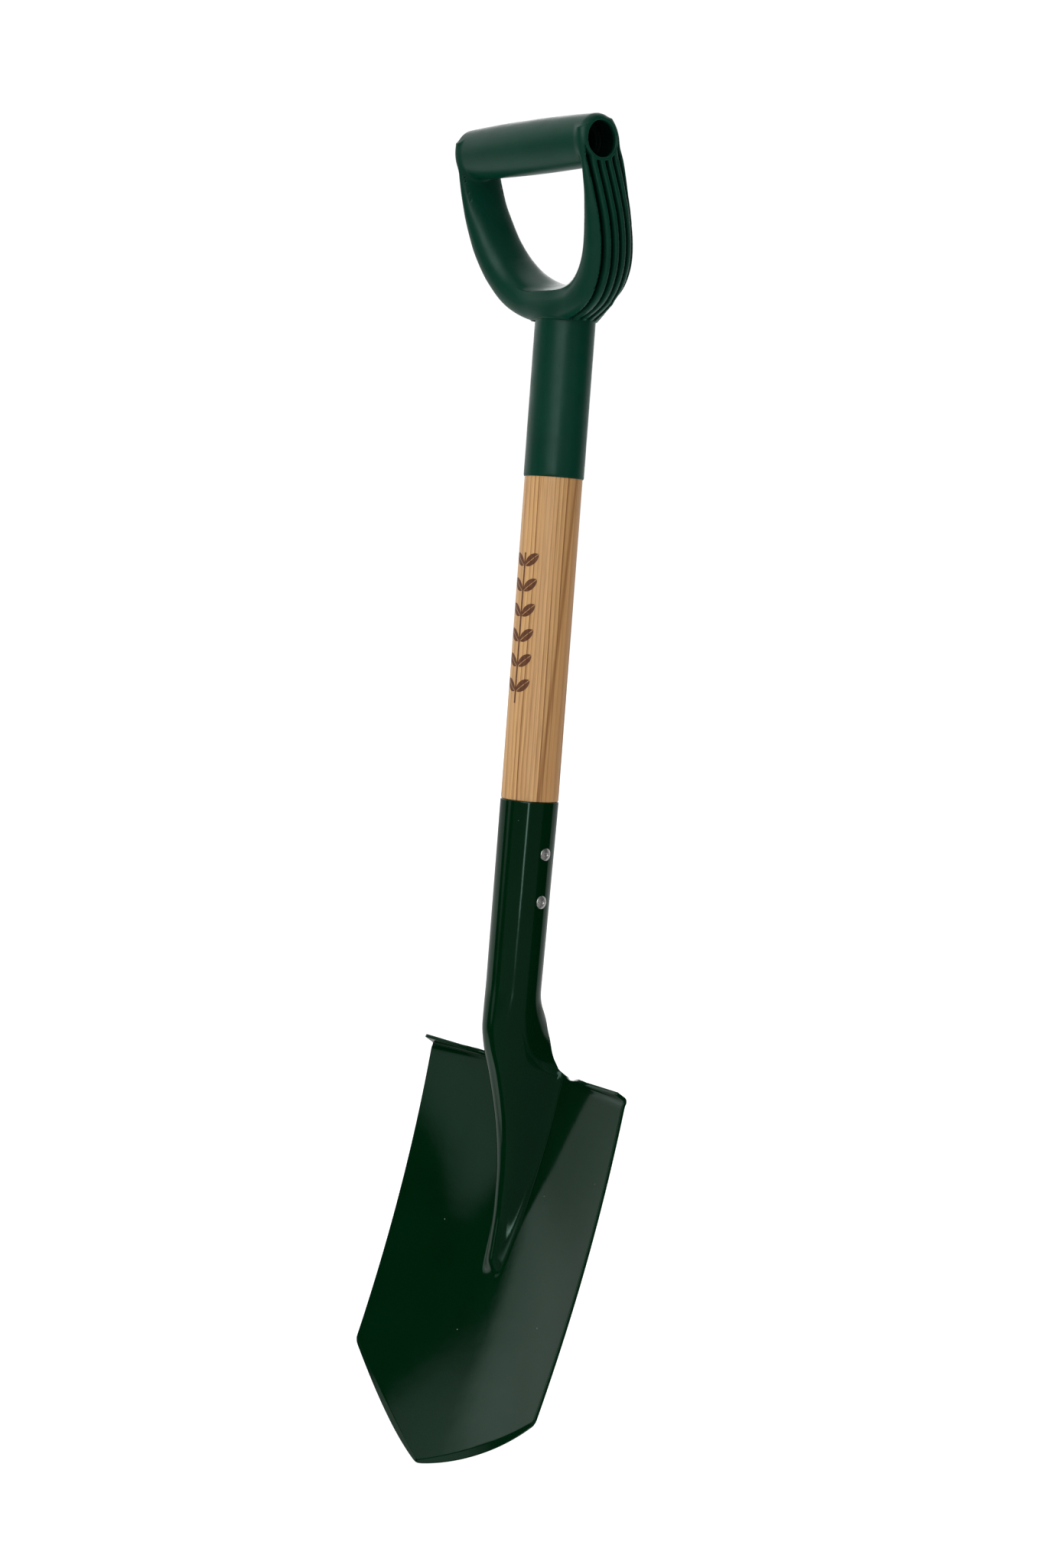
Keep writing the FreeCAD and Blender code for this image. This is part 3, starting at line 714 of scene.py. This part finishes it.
def make_screw(material):
    """Countersunk cross-head screw in the back of the sleeve."""
    profile = [(-24.0, 0), (-22.0, 1.3)]
    for n in range(18):         # threads
        profile += [(-21.0 + n, 1.55), (-20.5 + n, 2.0)]
    profile += [(-2.6, 1.95), (-0.35, 3.85), (-0.1, 3.95), (0.0, 3.8), (0.06, 2.6), (0.08, 0)]
    vertices, faces = turned(profile, 40, (0, SCREW_FACE_Y, SCREW_Z), BACK, RIGHT)
    screw = add_piece("grip_screw_body", vertices, faces, material, ("grip_screw",))
    for wide, high in (SCREW_CROSS, SCREW_CROSS[::-1]):
        cut_box(screw, wide, high)
    screw.data.polygons.foreach_set("use_smooth", [False] * len(screw.data.polygons))


# ---- materials -------------------------------------------

def set_input(tree, socket, value):
    """Sets a node's input to a value, or links it to another node's output."""
    if isinstance(value, bpy.types.NodeSocket):
        tree.links.new(value, socket)
    else:
        socket.default_value = value


def add_node(tree, kind, inputs=(), **settings):
    made = tree.nodes.new(kind)
    for key, value in settings.items():
        setattr(made, key, value)
    for key, value in dict(inputs).items():
        set_input(tree, made.inputs[key], value)
    return made


class Look:
    """A node material around one Principled shader."""

    def __init__(self, name):
        self.material = bpy.data.materials.new(name)
        self.material.use_nodes = True
        self.tree = self.material.node_tree
        self.shader = self.tree.nodes["Principled BSDF"]
        self.place = self.node("ShaderNodeTexCoord").outputs["Object"]

    def node(self, kind, inputs=(), **settings):
        return add_node(self.tree, kind, inputs, **settings)

    def math(self, operation, *values, clamp=False):
        return self.node("ShaderNodeMath", enumerate(values), operation=operation, use_clamp=clamp).outputs[0]

    def stretched(self, size, turn=(0.0, 0.0, 0.0), shift=(0.0, 0.0, 0.0)):
        inputs = {"Vector": self.place, "Location": shift, "Rotation": turn, "Scale": size}
        return self.node("ShaderNodeMapping", inputs).outputs[0]

    def noise(self, vector, scale, detail=4.0, roughness=0.5):
        inputs = {"Vector": vector, "Scale": scale, "Detail": detail, "Roughness": roughness}
        return self.node("ShaderNodeTexNoise", inputs).outputs["Fac"]

    def ramp(self, value, stops):
        made = self.node("ShaderNodeValToRGB", {"Fac": value})
        band = made.color_ramp
        while len(band.elements) < len(stops):
            band.elements.new(0.5)
        for element, (place, colour) in zip(band.elements, stops):
            element.position = place
            element.color = colour if len(colour) == 4 else (*colour, 1.0)
        return made.outputs["Color"]

    def spread(self, value, low, high, to_low, to_high):
        inputs = {"Value": value, "From Min": low, "From Max": high, "To Min": to_low, "To Max": to_high}
        return self.node("ShaderNodeMapRange", inputs).outputs[0]

    def blend(self, factor, first, second, kind="MIX"):
        made = self.node("ShaderNodeMix", data_type="RGBA", blend_type=kind)
        for number, value in ((0, factor), (6, first), (7, second)):       # the sockets of a colour mix
            set_input(self.tree, made.inputs[number], value)
        return made.outputs[2]

    def bump(self, height, strength, distance, below=None):
        inputs = {"Height": height, "Strength": strength, "Distance": distance}
        if below is not None:
            inputs["Normal"] = below
        return self.node("ShaderNodeBump", inputs).outputs[0]

    def finish(self, **values):
        for key, value in values.items():
            set_input(self.tree, self.shader.inputs[key.replace("_", " ")], value)
        return self.material


def steel_paint():
    """Glossy dark green stoving paint: a faint orange peel, a few specks of dust."""
    look = Look("steel_paint")
    cloud = look.noise(look.place, 22.0, 3.0)
    colour = look.ramp(cloud, ((0.3, (0.0002, 0.0108, 0.0026)), (0.7, (0.0004, 0.0130, 0.0038))))
    cells = look.node("ShaderNodeTexVoronoi", {"Vector": look.place, "Scale": 95.0})
    dust = look.math("LESS_THAN", cells.outputs["Distance"], 0.035)
    chance = look.node("ShaderNodeSeparateColor", {"Color": cells.outputs["Color"]}).outputs[0]
    speck = look.math("MULTIPLY", dust, look.math("GREATER_THAN", chance, 0.80))
    colour = look.blend(speck, colour, (0.16, 0.20, 0.17, 1.0))
    smear = look.noise(look.stretched((60.0, 60.0, 14.0)), 1.0, 4.0, 0.6)
    rough = look.spread(smear, 0.35, 0.75, 0.075, 0.12)
    rough = look.math("ADD", rough, look.math("MULTIPLY", speck, 0.4))
    peel = look.noise(look.place, 420.0, 2.0, 0.4)
    waves = look.noise(look.place, 70.0, 1.0, 0.3)
    normal = look.bump(waves, 0.10, 0.0006)
    normal = look.bump(peel, 0.06, 0.00012, normal)
    return look.finish(Base_Color=colour, Roughness=rough, Normal=normal, IOR=1.5,
                       Specular_Tint=(0.62, 1.0, 0.86, 1.0))


def grip_plastic():
    """Moulded plastic with a fine satin grain, slightly burnished where hands rub it, and painted shade deep
    in its slots and mouths.
    """
    look = Look("grip_plastic")
    cloud = look.noise(look.place, 28.0, 4.0, 0.6)
    colour = look.ramp(cloud, ((0.3, (0.0006, 0.027, 0.0150)), (0.7, (0.0012, 0.034, 0.0190))))
    depth = look.node("ShaderNodeAttribute", attribute_name="depth").outputs["Fac"]
    shade = look.spread(depth, 0.4, 3.5, 0.0, 0.92)          # painted shade, darkening the plastic deep in the slots and the mouths
    # the near-black colour is painted shade for the slots and mouths, not dirt
    colour = look.blend(shade, colour, (0.0006, 0.0020, 0.0014, 1.0))
    wear = look.noise(look.stretched((40.0, 40.0, 90.0)), 1.0, 5.0, 0.65)
    rough = look.spread(wear, 0.3, 0.75, 0.29, 0.42)
    grain = look.noise(look.place, 1900.0, 3.0, 0.6)
    flow = look.noise(look.stretched((55.0, 55.0, 160.0)), 1.0, 2.0, 0.4)
    scratch = look.noise(look.stretched((2400.0, 2400.0, 60.0), (0.5, 0.35, 0.0)), 1.0, 1.0, 0.3)
    scratch = look.math("GREATER_THAN", scratch, 0.78)
    normal = look.bump(flow, 0.12, 0.0006)
    normal = look.bump(grain, 0.22, 0.00006, normal)
    normal = look.bump(scratch, 0.10, -0.00003, normal)
    # deep in the slots and the mouths the shine drops too, along with the painted shade
    shine = look.spread(depth, 0.4, 3.0, 0.38, 0.05)
    return look.finish(Base_Color=colour, Roughness=rough, Normal=normal, IOR=1.49, Specular_IOR_Level=shine,
                       Specular_Tint=(0.72, 1.0, 0.95, 1.0))


def rivet_steel():
    look = Look("rivet_steel")
    cloud = look.noise(look.place, 900.0, 4.0, 0.6)
    colour = look.ramp(cloud, ((0.3, (0.52, 0.52, 0.51)), (0.7, (0.74, 0.74, 0.72))))
    rough = look.spread(cloud, 0.3, 0.7, 0.18, 0.28)
    normal = look.bump(look.noise(look.place, 2600.0, 2.0), 0.15, 0.00005)
    return look.finish(Base_Color=colour, Roughness=rough, Normal=normal, Metallic=0.85)


PITH = (-0.034, -0.022)             # in metres: it lies outside the shaft, so the rings run as long arcs
RINGS_PER_METRE = 400.0
RING_STOPS = ((0.0, (0.0, 0.0, 0.0)), (0.08, (1.0, 1.0, 1.0)), (0.24, (0.60, 0.60, 0.60)),
              (0.50, (0.20, 0.20, 0.20)), (0.9, (0.0, 0.0, 0.0)))
STREAK_TURN, STREAK_SLOPE = 2.35, 2.85      # radians round the shaft at the height 0, and per metre of height
SPRIG_TOP, SPRIG_LEAVES, LEAF_PITCH = -0.243, 6, 15.5       # metres, pairs of leaves, mm
LEAF_LEAN = math.radians(38.0)
LEAF_MIDDLE, LEAF_SIZE, LEAF_POWERS = (6.3, 0.6), (6.0, 3.1), (2.2, 1.3)
VEIN, STEM = 0.05, 0.7              # half widths, of the vein as a share of the leaf's and of the stem in mm


def wood_rings(look, x, y, z, drift):
    """How dark the growth ring is here, from 0 to 1, and a random number for each year."""
    bend = look.noise(look.stretched((30.0, 30.0, 5.0), shift=(3.0, 1.0, 7.0)), 1.0, 2.0, 0.5)
    dx = look.math("SUBTRACT", x, PITH[0])
    dy = look.math("SUBTRACT", y, PITH[1])
    radius = look.math("SQRT", look.math("ADD", look.math("MULTIPLY", dx, dx), look.math("MULTIPLY", dy, dy)))
    for wander, amount in ((drift, 0.010), (bend, 0.0034), (z, 0.006)):
        radius = look.math("ADD", radius, look.math("MULTIPLY", wander, amount))
    count = look.math("MULTIPLY", radius, RINGS_PER_METRE)
    shade = look.ramp(look.math("FRACT", count), RING_STOPS)
    year = look.node("ShaderNodeTexWhiteNoise", {"W": look.math("FLOOR", count)}, noise_dimensions="1D")
    return look.node("ShaderNodeRGBToBW", {"Color": shade}).outputs[0], year.outputs["Value"]


def wood_streak(look, colour, askew, fibre):
    """A dark streak that runs askew down the right side, with more golden wood beyond it."""
    streak = look.spread(look.math("ABSOLUTE", askew), 0.02, 0.11, 1.0, 0.0)
    streak = look.math("MULTIPLY", streak, look.spread(fibre, 0.3, 0.7, 0.45, 1.0))
    colour = look.blend(look.spread(askew, 0.0, 0.30, 0.0, 0.40), colour, (0.43, 0.205, 0.068, 1.0))
    return look.blend(look.math("MULTIPLY", streak, 0.92), colour, (0.21, 0.080, 0.018, 1.0))


def burnt_sprig(look, turn, z):
    """Where the burnt sprig is: a stem with pairs of leaves along the front of the shaft."""
    side = look.math("ABSOLUTE", look.math("MULTIPLY", turn, SHAFT_R))
    down = look.math("MULTIPLY", look.math("SUBTRACT", SPRIG_TOP, z), 1000.0)       # mm below its top
    cell = look.math("SUBTRACT", look.math("MODULO", down, LEAF_PITCH), LEAF_PITCH / 2)
    leaf = []
    for a, b, middle, size in zip((math.cos(LEAF_LEAN), math.sin(LEAF_LEAN)),
                                  (-math.sin(LEAF_LEAN), math.cos(LEAF_LEAN)), LEAF_MIDDLE, LEAF_SIZE):
        place = look.math("ADD", look.math("MULTIPLY", side, a), look.math("MULTIPLY", cell, b))
        place = look.math("DIVIDE", look.math("SUBTRACT", place, middle), size)
        leaf.append(look.math("ABSOLUTE", place))
    outline = look.math("ADD", *(look.math("POWER", v, power) for v, power in zip(leaf, LEAF_POWERS)))
    inside, off_vein = look.math("LESS_THAN", outline, 1.0), look.math("GREATER_THAN", leaf[1], VEIN)
    blade = look.math("MULTIPLY", inside, off_vein)
    stem = look.math("LESS_THAN", side, STEM)
    within = look.math("MULTIPLY", look.math("GREATER_THAN", down, 0.0),
                       look.math("LESS_THAN", down, SPRIG_LEAVES * LEAF_PITCH))
    mark = look.math("MULTIPLY", look.math("MAXIMUM", blade, stem), within)
    return look.math("MULTIPLY", mark, look.spread(look.noise(look.place, 700.0, 3.0), 0.3, 0.7, 0.88, 1.0))


def ash_wood():
    """Varnished ash: growth rings cut along their length, fine pores and a small burnt sprig."""
    look = Look("ash_wood")
    x, y, z = look.node("ShaderNodeSeparateXYZ", {"Vector": look.place}).outputs
    drift = look.noise(look.stretched((9.0, 9.0, 1.6)), 1.0, 3.0, 0.5)
    ring, year = wood_rings(look, x, y, z, drift)
    pores = look.noise(look.stretched((1500.0, 1500.0, 26.0)), 1.0, 3.0, 0.65)
    pores = look.spread(pores, 0.50, 0.70, 0.0, 1.0)
    fibre = look.noise(look.stretched((520.0, 520.0, 7.0)), 1.0, 5.0, 0.7)
    dark = look.math("MULTIPLY", ring, look.spread(fibre, 0.38, 0.60, 0.10, 1.0))
    dark = look.math("MULTIPLY", dark, look.spread(year, 0.0, 1.0, 0.25, 1.50))
    pale, tan, brown = (0.60, 0.355, 0.152, 1.0), (0.45, 0.240, 0.088, 1.0), (0.170, 0.062, 0.016, 1.0)
    broad = look.noise(look.stretched((60.0, 60.0, 2.2)), 1.0, 3.0, 0.55)
    colour = look.blend(look.spread(broad, 0.32, 0.68, 0.0, 1.0), pale, tan)
    colour = look.blend(look.math("MULTIPLY", dark, 1.1, clamp=True), colour, brown)
    colour = look.blend(look.math("MULTIPLY", pores, 0.48), colour, (0.20, 0.085, 0.028, 1.0))
    fine = look.node("ShaderNodeCombineColor", enumerate((look.spread(fibre, 0.35, 0.65, 0.90, 1.06),) * 3))
    colour = look.blend(1.0, colour, fine.outputs[0], "MULTIPLY")

    turn = look.math("ARCTAN2", x, look.math("SUBTRACT", SHAFT_Y * 0.001, y))       # from the front to +X
    run = look.math("ADD", look.math("MULTIPLY", z, STREAK_SLOPE), STREAK_TURN)
    wander = look.math("MULTIPLY", look.math("SUBTRACT", drift, 0.5), 0.30)
    askew = look.math("ADD", look.math("SUBTRACT", turn, run), wander)
    colour = wood_streak(look, colour, askew, fibre)
    mark = burnt_sprig(look, turn, z)
    colour = look.blend(mark, colour, (0.085, 0.022, 0.007, 1.0))

    rough = look.math("ADD", look.spread(fibre, 0.3, 0.7, 0.34, 0.44), look.math("MULTIPLY", mark, 0.2))
    relief = look.math("SUBTRACT", look.math("MULTIPLY", pores, -0.5), look.math("MULTIPLY", ring, 0.35))
    normal = look.bump(relief, 0.25, 0.00012)
    normal = look.bump(mark, 0.4, -0.00025, normal)
    return look.finish(Base_Color=colour, Roughness=rough, Normal=normal, IOR=1.47)


# ---- the spade -------------------------------------------

paint, plastic, metal, wood = steel_paint(), grip_plastic(), rivet_steel(), ash_wood()
make_steel(paint)
make_grip(plastic)
make_sleeve(plastic)
make_shaft(wood)
for name, depth in RIVET_DEPTHS.items():
    make_rivet(name, depth, metal)
make_screw(metal)


# ---- floor, light and camera -----------------------------

# brightness of the studio's walls against the azimuth in degrees, from the front towards +X
WALLS = ((-180, 0.25), (-165, 0.30), (-130, 0.30), (-56, 0.30), (-52, 0.0), (-14, 0.0), (-9, 0.07),
         (106, 0.07), (112, 0.0), (158, 0.0), (164, 0.22), (180, 0.25))
# how the walls' brightness changes with z of the direction: from, to and by how much
WALL_STEPS = ((-0.10, 0.06, 1.1), (-0.07, -0.13, 0.9), (0.10, 0.26, -0.6))
# a narrow upright lamp, and how far from its middle it is out and full, across in radians and up in z
STRIP, STRIP_TURN, STRIP_Z = 4.0, math.radians(49.0), -0.01
STRIP_WIDTH, STRIP_HEIGHT = (0.055, 0.030), (0.125, 0.10)
# round patches: direction, cosines of the angles from it where they start and are full, brightness
PATCHES = (((-0.566, 0.0, 0.825), 0.575, 0.64, 0.35), ((0.54, -0.74, 0.40), 0.88, 0.97, 2.0),
           ((-0.54, -0.84, -0.01), 0.984, 0.998, 0.40), ((-0.74, 0.62, 0.26), 0.90, 0.98, 1.6))


def make_floor():
    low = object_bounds()[0]
    bpy.ops.mesh.primitive_plane_add(size=30.0, location=(0.0, 0.0, low.z - 0.0005))
    floor = bpy.context.object
    floor.name = "floor"
    look = Look("floor_paper")
    tone = look.noise(look.place, 3.0, 2.0)
    colour = look.ramp(tone, ((0.4, (0.20, 0.20, 0.20)), (0.6, (0.22, 0.22, 0.22))))
    look.finish(Base_Color=colour, Roughness=0.9, Emission_Color=(1.0, 1.0, 1.0, 1.0), Emission_Strength=0.97)
    floor.data.materials.append(look.material)
    floor.visible_glossy = False


def make_world():
    """White behind the spade; its reflections see a studio of pale walls, dark gaps and a strip lamp."""
    world = bpy.data.worlds.new("studio")
    bpy.context.scene.world = world
    world.use_nodes = True
    tree = world.node_tree
    tree.nodes.clear()

    def node(kind, inputs=(), **settings):
        return add_node(tree, kind, inputs, **settings)

    def math_node(operation, *values):
        return node("ShaderNodeMath", enumerate(values), operation=operation).outputs[0]

    def rise(value, low, high, top):
        inputs = {"Value": value, "From Min": low, "From Max": high, "To Min": 0.0, "To Max": top}
        return node("ShaderNodeMapRange", inputs, interpolation_type="SMOOTHSTEP").outputs[0]

    def within(value, centre, limits, top):
        away = math_node("ABSOLUTE", math_node("SUBTRACT", value, centre))
        return rise(away, *limits, top)

    way = node("ShaderNodeTexCoord").outputs["Generated"]
    x, y, z = node("ShaderNodeSeparateXYZ", {"Vector": way}).outputs
    azimuth = math_node("ARCTAN2", x, math_node("MULTIPLY", y, -1.0))       # from the front towards +X
    share = math_node("ADD", math_node("DIVIDE", azimuth, 2 * math.pi), 0.5)
    walls = node("ShaderNodeValToRGB", {"Fac": share})
    band = walls.color_ramp
    while len(band.elements) < len(WALLS):
        band.elements.new(0.5)
    for element, (degrees, level) in zip(band.elements, WALLS):
        element.position = (degrees + 180.0) / 360.0
        element.color = (level, level, level, 1.0)
    light = node("ShaderNodeRGBToBW", {"Color": walls.outputs["Color"]}).outputs[0]
    height = 1.0
    for step in WALL_STEPS:
        height = math_node("ADD", rise(z, *step), height)
    light = math_node("MULTIPLY", light, height)
    strip = within(azimuth, STRIP_TURN, STRIP_WIDTH, STRIP)
    strip = math_node("MULTIPLY", strip, within(z, STRIP_Z, STRIP_HEIGHT, 1.0))
    light = math_node("ADD", light, strip)
    for direction, low, high, top in PATCHES:
        facing = node("ShaderNodeVectorMath", {0: way, 1: direction}, operation="DOT_PRODUCT")
        light = math_node("ADD", light, rise(facing.outputs["Value"], low, high, top))
    paths = node("ShaderNodeLightPath")
    studio = node("ShaderNodeBackground", {"Color": (1.0, 1.0, 1.0, 1.0), "Strength": light})
    white = node("ShaderNodeBackground", {"Color": (1.0, 1.0, 1.0, 1.0), "Strength": 1.05})
    mix = node("ShaderNodeMixShader", {0: paths.outputs["Is Camera Ray"], 1: studio.outputs[0],
                                       2: white.outputs[0]})
    node("ShaderNodeOutputWorld", {"Surface": mix.outputs[0]})


def make_light(name, kind, energy):
    """A lamp that gives soft light, but doesn't show in reflections."""
    lamp = bpy.data.lights.new(name, kind)
    lamp.energy = energy
    light = bpy.data.objects.new(name, lamp)
    bpy.context.scene.collection.objects.link(light)
    light.visible_glossy = False
    light.visible_camera = False
    return light


def make_top_light():
    """A wide soft light straight down, which keeps the floor even as far as the eye goes."""
    light = make_light("top", "SUN", 0.9)
    light.data.angle = math.radians(100.0)


def make_soft_box(name, place, size, energy):
    light = make_light(name, "AREA", energy)
    light.data.shape, light.data.size, light.data.size_y = "RECTANGLE", *size
    light.location = place
    light.rotation_euler = (Vector((0.0, 0.0, -0.4)) - Vector(place)).to_track_quat("-Z", "Y").to_euler()


def make_camera():
    azimuth, distance, height = math.radians(50.093), 1.57691, -0.25997
    yaw, pitch, roll = (math.radians(a) for a in (0.187, -4.594, 4.268))
    spot = Vector((distance * math.sin(azimuth), SHAFT_Y * 0.001 - distance * math.cos(azimuth), height))
    a = azimuth + yaw
    ahead = Vector((-math.sin(a) * math.cos(pitch), math.cos(a) * math.cos(pitch), math.sin(pitch)))
    level = Vector((math.cos(a), math.sin(a), 0.0))
    above = level.cross(ahead)
    right = level * math.cos(roll) + above * math.sin(roll)
    up = above * math.cos(roll) - level * math.sin(roll)
    data = bpy.data.cameras.new("camera")
    data.lens, data.sensor_width = 58.19, 36.0
    data.clip_start, data.clip_end = 0.05, 100.0
    camera = bpy.data.objects.new("camera", data)
    bpy.context.scene.collection.objects.link(camera)
    frame_axes = Matrix((right, up, -ahead)).transposed().to_4x4()
    camera.matrix_world = Matrix.Translation(spot) @ frame_axes
    bpy.context.scene.camera = camera


make_floor()
make_world()
make_top_light()
make_soft_box("key", (-1.6, -1.5, 0.9), (1.2, 1.6), 16.0)
make_soft_box("fill", (1.8, -1.6, 0.3), (1.4, 1.8), 7.0)
make_camera()
bpy.context.scene.view_settings.view_transform = "Standard"
